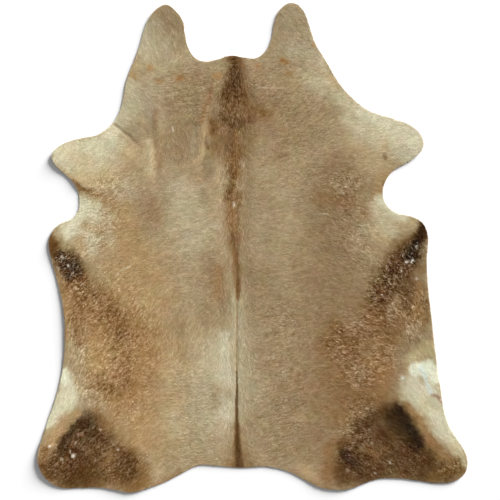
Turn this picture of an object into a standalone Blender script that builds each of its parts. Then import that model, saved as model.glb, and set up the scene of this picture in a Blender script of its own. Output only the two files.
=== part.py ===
"""A hair-on cowhide rug, laid hair side up on the floor.

The hide is one piece: a sheet of tanned skin with its short coat, cut to the outline of the whole animal,
with two neck flaps, two forelegs, two hind legs and the rump. It lies flat, apart from a few soft ridges
on the neck and the tips of the legs and flaps, which stand a few millimetres off the floor.

Frame: metres, +Z up, +Y from rump to neck, +X to the right seen from above. The origin is on the floor
under the middle of the hide.
"""

import math

import bmesh
import bpy
import numpy as np

MM = 0.001

# Driving dimensions, in metres.
HIDE_LENGTH = 2.200
HIDE_WIDTH = 1.930
HIDE_THICKNESS = 0.005
GRID_ACROSS = 0.025
GRID_ALONG = 0.040
GRID_MARGIN = 0.040
CUTTER_HEIGHT = 0.200
CURVE_STEPS = 6
FLAT_BELOW = 0.0006

# What the coat looks like, for the material.
COAT_COLOUR = (0.40, 0.30, 0.19, 1.0)
COAT_ROUGHNESS = 0.75

# The cut edge, clockwise from the poll. Each row is a stretch of the edge: its name, then points on it
# as (across, along) in millimetres from the middle of the hide.
EDGE = (
    ("poll", (-209, 837), (-155, 847), (-92, 865), (-43, 856), (7, 850)),
    ("right neck flap", (56, 880), (86, 940), (98, 1010), (128, 1075), (179, 1101), (225, 1070), (252, 1008)),
    ("right shoulder", (279, 925), (331, 838), (390, 738), (463, 659), (529, 612)),
    ("right foreleg", (634, 579), (716, 545), (758, 502), (767, 454), (738, 413), (682, 376)),
    ("right armpit", (631, 345), (599, 303), (585, 245), (603, 189), (646, 155)),
    ("right belly", (709, 140), (758, 117), (784, 70), (788, 11), (783, -52), (806, -335), (846, -641)),
    ("right hind leg", (873, -781), (916, -857), (954, -920), (965, -965), (951, -1019), (904, -1051)),
    ("right hock", (830, -1059), (736, -1047), (646, -1037), (569, -1039)),
    ("right rump", (506, -1058), (443, -1082), (378, -1089), (304, -1079), (232, -1044), (153, -1005)),
    ("tail", (70, -986), (-56, -989), (-173, -980), (-241, -979), (-310, -1012)),
    ("left rump", (-387, -1051), (-466, -1080), (-547, -1100), (-614, -1089), (-686, -1079), (-785, -1080)),
    ("left hind leg", (-864, -1078), (-922, -1044), (-955, -992), (-963, -934), (-941, -853), (-907, -745)),
    ("left belly", (-872, -634), (-850, -524), (-842, -398), (-848, -277), (-873, -158), (-905, -40)),
    ("left armpit", (-914, 20), (-900, 68), (-868, 104), (-819, 125), (-785, 157), (-775, 212), (-793, 279)),
    ("left foreleg", (-835, 326), (-882, 370), (-901, 410), (-884, 442), (-835, 473), (-767, 493)),
    ("left shoulder", (-695, 508), (-641, 544), (-602, 598), (-582, 659), (-569, 736)),
    ("left neck flap", (-540, 819), (-506, 911), (-484, 988), (-452, 1051), (-416, 1083), (-385, 1093)),
    ("left flap root", (-349, 1069), (-313, 1021), (-304, 961), (-287, 898), (-256, 853)),
)

# Where the hide stands off the floor. Each row is a soft mound: its name, the middle (across, along), its
# two half-widths (first and second), how far the first is turned from +X in degrees, and its height,
# in millimetres.
LIFTS = (
    ("outer neck ridge", -452, 440, 210, 34, 84, 5.5),
    ("inner neck ridge", -222, 500, 230, 32, 93, 4.5),
    ("shoulder fold", -612, 470, 110, 42, -38, 5.0),
    ("armpit pucker", -770, 300, 70, 34, 20, 4.0),
    ("left foreleg tip", -905, 405, 120, 90, 0, 8.0),
    ("right foreleg tip", 772, 455, 120, 90, 20, 7.0),
    ("left hind tip", -960, -985, 130, 110, 45, 8.5),
    ("right hind tip", 965, -975, 130, 100, -35, 8.0),
    ("left neck tip", -395, 1100, 110, 90, 60, 6.5),
    ("right neck tip", 180, 1110, 110, 80, 90, 6.5),
    ("left belly wave", -850, -340, 210, 60, 90, 4.5),
    ("right belly wave", 805, -330, 230, 55, 88, 4.5),
    ("right belly point", 790, 60, 100, 60, 100, 4.0),
    ("left belly point", -915, 10, 100, 60, 80, 4.0),
    ("right rump wave", 370, -1095, 150, 55, 0, 4.0),
    ("left rump wave", -560, -1105, 150, 55, 0, 4.0),
)


def clear_scene():
    """Removes whatever the file opened with."""
    for thing in list(bpy.data.objects):
        bpy.data.objects.remove(thing, do_unlink=True)


def make_collection(name):
    """A new collection in the scene."""
    collection = bpy.data.collections.new(name)
    bpy.context.scene.collection.children.link(collection)
    return collection


def move_to(thing, collection):
    """Puts an object in one collection only."""
    for old in list(thing.users_collection):
        old.objects.unlink(thing)
    collection.objects.link(thing)


def coat_material():
    """Short fawn hair: matt, with no metal in it."""
    material = bpy.data.materials.new("hair_on_hide")
    material.use_nodes = True
    shader = material.node_tree.nodes["Principled BSDF"]
    shader.inputs["Base Color"].default_value = COAT_COLOUR
    shader.inputs["Roughness"].default_value = COAT_ROUGHNESS
    shader.inputs["Metallic"].default_value = 0.0
    return material


def edge_curve(collection):
    """The cut edge as a flat closed curve through the points of EDGE, thick enough to cut the sheet."""
    data = bpy.data.curves.new("edge_line", "CURVE")
    data.dimensions = "2D"
    data.fill_mode = "BOTH"
    data.resolution_u = CURVE_STEPS
    data.extrude = CUTTER_HEIGHT / 2
    points = [point for stretch in EDGE for point in stretch[1:]]
    spline = data.splines.new("BEZIER")
    spline.bezier_points.add(len(points) - 1)
    for knot, (across, along) in zip(spline.bezier_points, points):
        knot.co = (across * MM, along * MM, 0.0)
        knot.handle_left_type = "AUTO"
        knot.handle_right_type = "AUTO"
    spline.use_cyclic_u = True
    line = bpy.data.objects.new("edge_line", data)
    collection.objects.link(line)
    return line


def edge_cutter(line, collection):
    """The curve made into a closed mesh prism, sized so that it measures HIDE_WIDTH by HIDE_LENGTH."""
    bpy.context.view_layer.update()
    graph = bpy.context.evaluated_depsgraph_get()
    mesh = bpy.data.meshes.new_from_object(line.evaluated_get(graph))
    bpy.data.objects.remove(line, do_unlink=True)

    shape = bmesh.new()
    shape.from_mesh(mesh)
    bmesh.ops.remove_doubles(shape, verts=shape.verts, dist=1e-5)
    across = [vertex.co.x for vertex in shape.verts]
    along = [vertex.co.y for vertex in shape.verts]
    middle = ((max(across) + min(across)) / 2, (max(along) + min(along)) / 2, 0.0)
    size = (HIDE_WIDTH / (max(across) - min(across)), HIDE_LENGTH / (max(along) - min(along)), 1.0)
    bmesh.ops.translate(shape, verts=shape.verts, vec=[-value for value in middle])
    bmesh.ops.scale(shape, verts=shape.verts, vec=size)
    bmesh.ops.recalc_face_normals(shape, faces=shape.faces)
    shape.to_mesh(mesh)
    shape.free()

    cutter = bpy.data.objects.new("edge_cutter", mesh)
    cutter.hide_render = True
    cutter.display_type = "WIRE"
    collection.objects.link(cutter)
    return cutter


def height_off_floor(across, along):
    """How far the underside stands off the floor: the sum of the mounds in LIFTS, flat where it is small."""
    height = np.zeros_like(across)
    for _, x_mid, y_mid, first, second, turn, top in LIFTS:
        angle = math.radians(turn)
        dx = across - x_mid * MM
        dy = along - y_mid * MM
        u = (dx * math.cos(angle) + dy * math.sin(angle)) / (first * MM)
        v = (dy * math.cos(angle) - dx * math.sin(angle)) / (second * MM)
        height += top * MM * np.exp(-(u * u) - v * v)
    return np.maximum(height - FLAT_BELOW, 0.0)


def hide_sheet(cutter, collection, material):
    """A grid shaped by the lifts, given its thickness and cut to the outline."""
    wide = HIDE_WIDTH + 2 * GRID_MARGIN
    long = HIDE_LENGTH + 2 * GRID_MARGIN
    bpy.ops.mesh.primitive_grid_add(
        x_subdivisions=round(wide / GRID_ACROSS),
        y_subdivisions=round(long / GRID_ALONG),
        size=1.0,
    )
    sheet = bpy.context.object
    sheet.name = "cowhide"
    sheet.data.name = "cowhide"
    places = np.empty(len(sheet.data.vertices) * 3)
    sheet.data.vertices.foreach_get("co", places)
    places = places.reshape(-1, 3) * (wide, long, 1.0)
    places[:, 2] = height_off_floor(places[:, 0], places[:, 1])
    sheet.data.vertices.foreach_set("co", places.ravel())
    sheet.data.update()
    sheet.data.materials.append(material)
    move_to(sheet, collection)

    skin = sheet.modifiers.new("skin_and_coat", "SOLIDIFY")
    skin.thickness = HIDE_THICKNESS
    skin.offset = 1.0
    trim = sheet.modifiers.new("trim_to_edge", "BOOLEAN")
    trim.operation = "INTERSECT"
    trim.solver = "EXACT"
    trim.object = cutter
    return sheet


def main():
    clear_scene()
    parts = make_collection("cowhide_rug")
    helpers = make_collection("cutters")
    line = edge_curve(helpers)
    cutter = edge_cutter(line, helpers)
    hide_sheet(cutter, parts, coat_material())


main()
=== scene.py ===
# %% [markdown]
# A cowhide rug
#
# This lesson dresses a hair-on cowhide rug that lies on the floor, hair side up. The real thing is one
# tanned skin with its coat left on, cut to the outline of the whole animal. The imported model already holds
# its size, outline and folds. Here it gets a fine skin with a suede back, a combed coat of about a quarter
# of a million small locks of hair, and the colours of the animal, from cream legs to seal brown flanks.

import math

import bpy
import numpy as np
from mathutils.geometry import delaunay_2d_cdt
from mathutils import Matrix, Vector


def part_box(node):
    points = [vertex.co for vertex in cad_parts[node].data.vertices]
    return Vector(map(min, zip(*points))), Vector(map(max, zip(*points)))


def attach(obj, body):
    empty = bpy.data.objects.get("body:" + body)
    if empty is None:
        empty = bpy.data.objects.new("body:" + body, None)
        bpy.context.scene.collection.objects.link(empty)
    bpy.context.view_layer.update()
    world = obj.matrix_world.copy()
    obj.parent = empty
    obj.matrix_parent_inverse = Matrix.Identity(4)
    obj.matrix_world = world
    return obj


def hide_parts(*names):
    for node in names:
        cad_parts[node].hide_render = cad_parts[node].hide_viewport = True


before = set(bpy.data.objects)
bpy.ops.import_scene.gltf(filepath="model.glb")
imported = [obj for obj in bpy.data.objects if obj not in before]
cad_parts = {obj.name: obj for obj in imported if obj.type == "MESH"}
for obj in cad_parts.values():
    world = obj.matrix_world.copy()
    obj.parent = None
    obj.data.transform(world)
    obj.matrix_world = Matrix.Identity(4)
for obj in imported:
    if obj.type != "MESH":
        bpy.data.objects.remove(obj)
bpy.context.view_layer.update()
MM = 0.001
LOW, HIGH = (np.array(corner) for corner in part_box("cowhide"))
print("the packed hide reaches from", LOW.round(3), "to", HIGH.round(3), "metres")

# %% [markdown]
# Camera and light
#
# A rug is photographed from straight above, on white. A long lens high up keeps the outline free of
# perspective. A broad low lamp from the upper right gives the soft shadow along the left and lower edges,
# and the sky fills the rest. The camera comes first, so that every later step can be looked at.

# %% Camera
# how wide a floor the picture shows, where its middle is, and how high the camera hangs; in metres
VIEW_ACROSS = 2.25
VIEW_MIDDLE = (-11.25 * MM, -11.25 * MM)
CAMERA_HEIGHT = 6.0

scene = bpy.context.scene
lens = bpy.data.cameras.new("above")
lens.sensor_width = 36.0
lens.lens = lens.sensor_width * CAMERA_HEIGHT / VIEW_ACROSS
lens.clip_end = 50.0
camera = bpy.data.objects.new("above", lens)
camera.location = (*VIEW_MIDDLE, CAMERA_HEIGHT)
scene.collection.objects.link(camera)
scene.camera = camera
scene.view_settings.view_transform = "Standard"
scene.view_settings.look = "None"
print("lens of", round(lens.lens), "mm,", CAMERA_HEIGHT, "metres up")

# %% Lamp and sky
# how far the lamp stands above the floor and round from +X, and how wide it looks; in degrees
LAMP_HEIGHT_ANGLE = 12.0
LAMP_SIDE_ANGLE = 46.0
LAMP_BREADTH = 28.0
LAMP_STRENGTH = 12.9
SKY_STRENGTH = 0.28

lamp = bpy.data.lights.new("window", "SUN")
lamp.energy = LAMP_STRENGTH
lamp.angle = math.radians(LAMP_BREADTH)
lamp_object = bpy.data.objects.new("window", lamp)
lamp_object.rotation_euler = (math.radians(90 - LAMP_HEIGHT_ANGLE), 0.0, math.radians(90 + LAMP_SIDE_ANGLE))
lamp_object.location = (1.5, 1.5, 1.5)
scene.collection.objects.link(lamp_object)

sky = bpy.data.worlds.new("studio")
sky.use_nodes = True
sky.node_tree.nodes["Background"].inputs["Color"].default_value = (1.0, 1.0, 1.0, 1.0)
sky.node_tree.nodes["Background"].inputs["Strength"].default_value = SKY_STRENGTH
scene.world = sky
print("lamp", LAMP_HEIGHT_ANGLE, "degrees up, sky strength", SKY_STRENGTH)

# %% [markdown]
# Two small helpers
#
# Every surface in this lesson is worked out as arrays of points and faces, so one helper puts such arrays
# into a mesh. Every finish is built from nodes, so one class holds a material and adds any node to it, and
# another wraps a socket, so that sums can be written as sums.

# %% Arrays into a mesh
def make_piece(name, points, faces, materials, normals=None):
    """Makes an object from points (N by 3) and a list of face tables, each M by 3 or M by 4.

    Shading is smooth. Where normals (N by 3) are given, light falls on each point as if it faced there."""
    mesh = bpy.data.meshes.new(name)
    corners = np.concatenate([table.ravel() for table in faces]).astype(np.int32)
    sides = np.concatenate([np.full(len(table), table.shape[1]) for table in faces])
    starts = np.concatenate([[0], np.cumsum(sides)[:-1]]).astype(np.int32)
    mesh.vertices.add(len(points))
    mesh.vertices.foreach_set("co", np.asarray(points, np.float32).ravel())
    mesh.loops.add(len(corners))
    mesh.loops.foreach_set("vertex_index", corners)
    mesh.polygons.add(len(sides))
    mesh.polygons.foreach_set("loop_start", starts)
    mesh.update(calc_edges=True)
    mesh.polygons.foreach_set("use_smooth", np.full(len(sides), True))
    if normals is not None:
        mesh.normals_split_custom_set_from_vertices(normals.tolist())
    for material in materials:
        mesh.materials.append(material)
    piece = bpy.data.objects.new(name, mesh)
    scene.collection.objects.link(piece)
    triangles = int((sides - 2).sum())
    print(name, "has", len(points), "points and", triangles, "triangles")
    return piece


def add_values(piece, name, values):
    """Stores one vector (three columns) or one colour (four columns) for each point of a piece."""
    if values.shape[1] == 3:
        store, field = piece.data.attributes.new(name, "FLOAT_VECTOR", "POINT"), "vector"
    else:
        store, field = piece.data.color_attributes.new(name, "FLOAT_COLOR", "POINT"), "color"
    store.data.foreach_set(field, values.astype(np.float32).ravel())

# %% A wire that can be added up
class Wire:
    """One output socket, which can be used in sums with numbers and other wires."""

    def __init__(self, finish, socket):
        self.finish, self.socket = finish, socket

    def sum_node(self, operation, first, second):
        """A Math node that works out one sum, and a wire from it."""
        return self.finish.node("ShaderNodeMath", {"operation": operation}, {0: first, 1: second})

    def __add__(self, other):
        return self.sum_node("ADD", self, other)

    def __sub__(self, other):
        return self.sum_node("SUBTRACT", self, other)

    def __rsub__(self, other):
        return self.sum_node("SUBTRACT", other, self)

    def __mul__(self, other):
        return self.sum_node("MULTIPLY", self, other)

    __radd__, __rmul__ = __add__, __mul__

# %% A material that takes any node
class Finish:
    """A material, with one method that adds any node to it."""

    def __init__(self, name, **shader):
        self.material = bpy.data.materials.new(name)
        self.material.use_nodes = True
        self.tree = self.material.node_tree
        self.shader = self.tree.nodes["Principled BSDF"]
        for socket, value in shader.items():
            self.shader.inputs[socket.replace("_", " ")].default_value = value

    def node(self, kind, settings=None, sockets=None, output=0):
        """Adds a node, sets its settings and its sockets, and returns a wire from it."""
        made = self.tree.nodes.new(kind)
        for name, value in (settings or {}).items():
            setattr(made, name, value)
        for name, value in (sockets or {}).items():
            self.join(made.inputs[name], value)
        return Wire(self, made.outputs[output])

    def join(self, socket, value):
        """Links a wire to a socket, or sets the socket's own value."""
        if isinstance(value, Wire):
            self.tree.links.new(value.socket, socket)
        else:
            socket.default_value = value

    def feed(self, **sockets):
        """Feeds the shader's sockets, named with underscores for spaces."""
        for name, value in sockets.items():
            self.join(self.shader.inputs[name.replace("_", " ")], value)

    def kept(self, name, output="Color"):
        """A value that the mesh keeps at its points."""
        return self.node("ShaderNodeAttribute", {"attribute_name": name}, output=output)

    def noise(self, place, scale, detail=2.0, rough=0.5):
        """Cloudy noise from 0 to 1."""
        sockets = {"Vector": place, "Scale": scale, "Detail": detail, "Roughness": rough}
        return self.node("ShaderNodeTexNoise", {}, sockets)

    def blend(self, factor, first, second, kind="MIX"):
        """Mixes two colours. Of the node's sockets, 0 is the factor, and 6 and 7 are the colours."""
        sockets = {0: factor, 6: first, 7: second}
        return self.node("ShaderNodeMix", {"data_type": "RGBA", "blend_type": kind}, sockets, output=2)

    def grey(self, value):
        """A number as a grey colour."""
        return self.node("ShaderNodeCombineColor", {}, {0: value, 1: value, 2: value})

# %% [markdown]
# Floor
#
# The rug lies on a plain pale floor. The floor is a wide sheet half a millimetre below the suede, so that
# the two never share a plane, and a faint mottle keeps it from being one flat colour.

# %% Floor
FLOOR_SIZE = 80.0
FLOOR_LEVEL = -0.5 * MM

floor_finish = Finish("pale_floor", Roughness=0.9)
mottle = floor_finish.noise(floor_finish.node("ShaderNodeTexCoord", output="Object"), scale=3.0)
floor_finish.feed(Base_Color=floor_finish.blend(mottle, (0.90, 0.90, 0.90, 1.0), (0.92, 0.92, 0.92, 1.0)))
corners = np.array([(-1, -1), (1, -1), (1, 1), (-1, 1)]) * FLOOR_SIZE / 2
floor_points = np.column_stack([corners, np.full(4, FLOOR_LEVEL)])
floor = make_piece("floor", floor_points, [np.array([(0, 1, 2, 3)])], [floor_finish.material])

# %% [markdown]
# The cut edge
#
# A tanner lays the dried skin flat and trims it with shears, so the edge is one smooth closed line. The
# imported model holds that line, and it is read from there, so the two can never disagree. An even ring of
# points on it serves every later step: the rim is carried along it, and hair stops at it.

# %% Cut edge
EDGE_STEP = 4 * MM
EDGE_SMOOTHING = 2.0


def rim_of(node):
    """The rim of a node seen from above, as a ring of points in order.

    Corners in one place are merged. An edge that only one upward face uses lies on the rim. Each rim point
    knows the next, and following that by one, two, four and more steps lists the ring, which ends where it
    comes back to its first point."""
    mesh = node.data
    mesh.calc_loop_triangles()
    places = np.empty(len(mesh.vertices) * 3, np.float32)
    mesh.vertices.foreach_get("co", places)
    corners = np.empty(len(mesh.loop_triangles) * 3, np.int32)
    mesh.loop_triangles.foreach_get("vertices", corners)
    places, merged = np.unique(places.reshape(-1, 3).round(6), axis=0, return_inverse=True)
    faces = merged.ravel()[corners].reshape(-1, 3)
    a, b, c = (places[faces[:, k]] for k in range(3))
    facing = np.cross(b - a, c - a)
    faces = faces[facing[:, 2] > 0.5 * np.linalg.norm(facing, axis=1)]
    edges = np.concatenate([faces[:, [0, 1]], faces[:, [1, 2]], faces[:, [2, 0]]])
    key = edges.min(1).astype(np.int64) * len(places) + edges.max(1)
    _, first, uses = np.unique(key, return_index=True, return_counts=True)
    rim = edges[first[uses == 1]]
    following = np.arange(len(places))
    following[rim[:, 0]] = rim[:, 1]
    order = rim[:1, 0]
    while len(order) <= len(rim):
        order = np.concatenate([order, following[order]])
        following = following[following]
    back = 1 + np.flatnonzero(order[1:] == order[0])[0]
    return places[order[:back], :2].astype(float)


def even_ring(ring, step):
    """The ring again, with points a step apart, read off evenly along the summed way round it."""
    closed = np.concatenate([ring, ring[:1]])
    along = np.concatenate([[0], np.cumsum(np.hypot(*np.diff(closed, axis=0).T))])
    at = np.linspace(0, along[-1], round(along[-1] / step), endpoint=False)
    return np.stack([np.interp(at, along, closed[:, k]) for k in range(2)], axis=1)


def smooth_ring(ring, steps):
    """The ring blurred along itself by a bell curve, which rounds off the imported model's straights."""
    turns = np.fft.fftfreq(len(ring))
    bell = np.exp(-2 * (math.pi * turns * steps) ** 2)
    return np.fft.ifft(np.fft.fft(ring, axis=0) * bell[:, None], axis=0).real


def outward(ring):
    """Unit vectors that point out of the ring: the direction along it, turned a quarter to the right."""
    along = np.roll(ring, -1, axis=0) - np.roll(ring, 1, axis=0)
    along /= np.linalg.norm(along, axis=1)[:, None]
    return np.stack([along[:, 1], -along[:, 0]], axis=1)


EDGE = smooth_ring(even_ring(rim_of(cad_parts["cowhide"]), EDGE_STEP), EDGE_SMOOTHING)
EDGE_OUT = outward(EDGE)
print("the cut edge is", round(len(EDGE) * EDGE_STEP, 2), "metres long, in", len(EDGE), "points")

# %% [markdown]
# Distance to the edge
#
# Many steps ask how far a point lies from the cut edge. The answer is worked out once on a coarse grid of
# points and read between them afterwards, which is quick even for a quarter of a million locks.

# %% Distance to the edge
ROOM_STEP = 8 * MM
ROOM_MARGIN = 40 * MM


def distance_to_ring(points, ring):
    """Distance from each point to the nearest stretch of the ring, positive inside.

    The nearest place on each stretch is its start plus a share of it, held from 0 to 1. A point lies inside
    if a line from it to the right crosses the ring an odd number of times."""
    start, stretch = ring, np.roll(ring, -1, axis=0) - ring
    away = points[:, None, :] - start
    share = np.clip((away * stretch).sum(2) / (stretch * stretch).sum(1), 0, 1)
    gap = np.hypot(*np.moveaxis(away - share[..., None] * stretch, 2, 0)).min(1)
    end = start + stretch
    spans = (start[:, 1] > points[:, None, 1]) != (end[:, 1] > points[:, None, 1])
    rise = np.where(stretch[:, 1] == 0, 1.0, stretch[:, 1])
    crosses = away[..., 0] < away[..., 1] / rise * stretch[:, 0]
    inside = (spans & crosses).sum(1) % 2 == 1
    return np.where(inside, gap, -gap)


ROOM_X = np.arange(LOW[0] - ROOM_MARGIN, HIGH[0] + ROOM_MARGIN, ROOM_STEP)
ROOM_Y = np.arange(LOW[1] - ROOM_MARGIN, HIGH[1] + ROOM_MARGIN, ROOM_STEP)
every_other = EDGE[::2]
columns = (np.stack([np.full_like(ROOM_Y, x), ROOM_Y], axis=1) for x in ROOM_X)
ROOM = np.stack([distance_to_ring(column, every_other) for column in columns])


def read_grid(grid, x, y):
    """Reads a grid of values between its points: a weighted mean of the four around each place."""
    across = np.clip((x - ROOM_X[0]) / ROOM_STEP, 0, len(ROOM_X) - 1.001)
    along = np.clip((y - ROOM_Y[0]) / ROOM_STEP, 0, len(ROOM_Y) - 1.001)
    i, j = across.astype(int), along.astype(int)
    fi, fj = across - i, along - j
    low = grid[i, j] * (1 - fi) + grid[i + 1, j] * fi
    high = grid[i, j + 1] * (1 - fi) + grid[i + 1, j + 1] * fi
    return low * (1 - fj) + high * fj


def room(x, y):
    """How far inside the cut edge a place is, in metres, and negative outside."""
    return read_grid(ROOM, x, y)


print("the middle of the hide lies", round(float(ROOM.max()), 3), "metres from the edge")

# %% [markdown]
# Noise from arrays
#
# Nature is uneven. A small value noise, made with whole arrays, moves, shades and colours things: random
# numbers sit on a lattice and are blended between its points. It gives the same numbers on every run.

# %% Noise
def lattice(i, j, seed):
    """A repeatable random number from 0 to 1 for each lattice point, by mixing the bits of its indices."""
    i, j = i.astype(np.int64), j.astype(np.int64)
    mixed = (i * 374761393 + j * 668265263 + seed * 974634777) & 0xFFFFFFFF
    mixed = ((mixed ^ (mixed >> 13)) * 1274126177) & 0xFFFFFFFF
    mixed = mixed ^ (mixed >> 16)
    return (mixed & 0xFFFFFF) / float(0x1000000)


def soft_noise(x, y, seed):
    """Noise from -1 to 1 with bumps one unit wide: four lattice values, eased into each other."""
    i, j = np.floor(x), np.floor(y)
    u, v = x - i, y - j
    u, v = u * u * (3 - 2 * u), v * v * (3 - 2 * v)
    near = lattice(i, j, seed) * (1 - u) + lattice(i + 1, j, seed) * u
    far = lattice(i, j + 1, seed) * (1 - u) + lattice(i + 1, j + 1, seed) * u
    return 2 * (near * (1 - v) + far * v) - 1


def clouds(x, y, size, seed, layers=3):
    """Soft noise summed over layers, each half the size and about half the strength of the last."""
    strengths = 0.55 ** np.arange(layers)
    total = 0
    for k, strength in enumerate(strengths):
        total = total + strength * soft_noise(x / size * 2**k, y / size * 2**k, seed + 17 * k)
    return total / np.sqrt((strengths**2).sum())


sample = clouds(ROOM_X, ROOM_X, 0.1, 1)
print("noise runs from", sample.min().round(2), "to", sample.max().round(2))

# %% [markdown]
# Folds
#
# A hide never lies quite flat. Two ridges run down the left of the neck, a fold crosses the shoulder, and
# the thin tips of the legs curl up a little. They are soft mounds in named places, the same ones that the
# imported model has. Finer puckers, too small for it, are added in the same way.

# %% Folds
# name, middle across and along, first and second half-width, turn of the first in degrees, height; in mm
FOLDS = (
    ("outer neck ridge", -452, 440, 210, 34, 84, 5.5),
    ("inner neck ridge", -222, 500, 230, 32, 93, 4.5),
    ("shoulder fold", -612, 470, 110, 42, -38, 5.0),
    ("armpit pucker", -770, 300, 70, 34, 20, 4.0),
    ("left foreleg tip", -905, 405, 120, 90, 0, 8.0),
    ("right foreleg tip", 772, 455, 120, 90, 20, 7.0),
    ("left hind tip", -960, -985, 130, 110, 45, 8.5),
    ("right hind tip", 965, -975, 130, 100, -35, 8.0),
    ("left neck tip", -395, 1100, 110, 90, 60, 6.5),
    ("right neck tip", 180, 1110, 110, 80, 90, 6.5),
    ("left belly wave", -850, -340, 210, 60, 90, 4.5),
    ("right belly wave", 805, -330, 230, 55, 88, 4.5),
    ("right belly point", 790, 60, 100, 60, 100, 4.0),
    ("left belly point", -915, 10, 100, 60, 80, 4.0),
    ("right rump wave", 370, -1095, 150, 55, 0, 4.0),
    ("left rump wave", -560, -1105, 150, 55, 0, 4.0),
)
FLAT_BELOW = 0.6 * MM
# the same columns; a minus height is a trough
PUCKERS = (
    ("shoulder crease", -560, 502, 66, 8, -38, -0.7),
    ("outer ridge trough", -437, 440, 150, 17, -84, -0.9),
    ("inner ridge trough", -208, 500, 190, 15, 84, -0.5),
    ("inner ridge pit", -196, 455, 26, 12, 60, -0.7),
    ("spine groove", -70, -350, 560, 7, 90, -0.6),
    ("elbow crease", -748, 258, 34, 8, -8, -0.5),
    ("right elbow crease", 600, 405, 60, 9, 20, -0.6),
)


def mound_sum(x, y, table):
    """The sum of bell-shaped mounds: height times exp(-u*u - v*v), with u and v in half-widths."""
    total = np.zeros_like(x)
    for _, across, along, first, second, turn, height in table:
        c, s = math.cos(math.radians(turn)), math.sin(math.radians(turn))
        dx, dy = x - across * MM, y - along * MM
        u, v = (dx * c + dy * s) / (first * MM), (dy * c - dx * s) / (second * MM)
        total += height * MM * np.exp(-u * u - v * v)
    return total


def underside(x, y):
    """Height of the suede above the floor."""
    return np.maximum(mound_sum(x, y, FOLDS) - FLAT_BELOW, 0.0)


print(len(FOLDS), "folds, the highest", max(row[-1] for row in FOLDS), "mm, and", len(PUCKERS), "puckers")

# %% [markdown]
# The skin
#
# Under the hair the hide is a skin of about two millimetres with a soft underfur. Its rim is a profile
# carried round the cut edge: the fur thins out towards the shears' cut, the cut stands upright, and the
# suede turns under. Inside the rim, top and underside are even nets of points joined into triangles.

# %% Rim profile
# distance in from the cut edge, height above the underside; in mm, from the fur round to the suede
PROFILE = np.array((
    (14.0, 4.0), (9.5, 4.0), (6.0, 4.0), (3.4, 3.9), (1.6, 3.6), (0.5, 3.1), (0.0, 2.4),
    (0.0, 0.7), (0.3, 0.2), (1.2, 0.0), (7.0, 0.0), (14.0, 0.0),
)) * MM
# the same columns, for hair that hangs beyond the cut edge
DROOP = np.array(((-6.0, 0.8), (-2.0, 2.2))) * MM
LUMPS, LUMP_SIZE, EDGE_FADE = 0.22 * MM, 45 * MM, 30 * MM
FOLD_SHARE = 0.24
LAST_FUR_POINT = 6
INNER = PROFILE[0, 0]
TOP_STEP = 8 * MM
BACK_STEP = 16 * MM


def lie(x, y):
    """How the hide lies: its underside, with fine puckers and lumps that fade out towards the edge."""
    fine = mound_sum(x, y, PUCKERS) + LUMPS * clouds(x, y, LUMP_SIZE, 11)
    return underside(x, y) + fine * np.clip(room(x, y) / EDGE_FADE, 0, 1)


def fur_top(x, y):
    """Height of the underfur above the floor: how the hide lies, plus the height of the rim's profile.

    Beyond the edge it falls away, so hair droops there."""
    steps, levels = np.concatenate([DROOP, PROFILE[LAST_FUR_POINT::-1]]).T
    return lie(x, y) + np.interp(room(x, y), steps, levels)


def upright(x, y, own=0.0, step=2 * MM):
    """Normals for the hair: straight up, turned by the puckers' slope, a share of the folds' and its own.

    A slope is the change of height over a short step each way. Hair scatters light round a soft fold, so
    the folds count for FOLD_SHARE of their slope."""
    def height(x, y):
        return lie(x, y) - (1 - FOLD_SHARE) * underside(x, y)

    across = height(x + step, y) - height(x - step, y)
    along = height(x, y + step) - height(x, y - step)
    normals = np.column_stack([-np.stack([across, along], axis=1) / (2 * step) - own, np.ones(len(x))])
    return normals / np.linalg.norm(normals, axis=1)[:, None]


def fill_ring(ring, step, inset):
    """Triangles that fill a ring: its own points and a net of points a step apart, well inside it."""
    net_x, net_y = np.meshgrid(np.arange(LOW[0], HIGH[0], step), np.arange(LOW[1], HIGH[1], step))
    net = np.stack([net_x.ravel(), net_y.ravel()], axis=1)
    net = net[room(net[:, 0], net[:, 1]) > inset + 0.7 * step]
    points = np.concatenate([ring, net])
    loop = list(range(len(ring)))
    out, _, faces, _, _, _ = delaunay_2d_cdt(points.tolist(), [], [loop], 1, 1e-7)
    return np.array([tuple(p) for p in out]), np.array(faces)


rings = [EDGE - EDGE_OUT * inset for inset in PROFILE[:, 0]]
top_points, top_faces = fill_ring(rings[0], TOP_STEP, INNER)
back_points, back_faces = fill_ring(rings[-1], BACK_STEP, INNER)
print("the fur's net has", len(top_points), "points, the suede's", len(back_points))

# %% Skin as one closed piece
def put_together():
    """Joins top, rim and suede: the rings' points come first, and the nets' own ring points are theirs."""
    count, span = len(EDGE), len(rings)
    flat = np.concatenate(rings)
    lift = np.repeat(PROFILE[:, 1], count)
    rim_z = underside(*flat.T) + lift
    rim_points = np.column_stack([flat, rim_z])
    rim_points[:count, 2] = fur_top(*rings[0].T)
    here = np.arange(count) + np.arange(span - 1)[:, None] * count
    after = np.roll(here, -1, axis=1)
    quads = np.stack([here, here + count, after + count, after], axis=2).reshape(-1, 4)
    top = np.column_stack([top_points, fur_top(*top_points.T)])
    back = np.column_stack([back_points, underside(*back_points.T)])
    first_top = len(rim_points)
    first_back = first_top + len(top) - count
    top_index = np.where(top_faces < count, top_faces, top_faces - count + first_top)
    last_ring = (span - 1) * count
    back_index = np.where(back_faces < count, back_faces + last_ring, back_faces - count + first_back)
    points = np.concatenate([rim_points, top[count:], back[count:]])
    return points, quads, top_index, back_index[:, ::-1]


points, rim_faces, top_faces, back_faces = put_together()
print("rim", len(rim_faces), "faces, top", len(top_faces), "faces, suede", len(back_faces), "faces")

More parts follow.
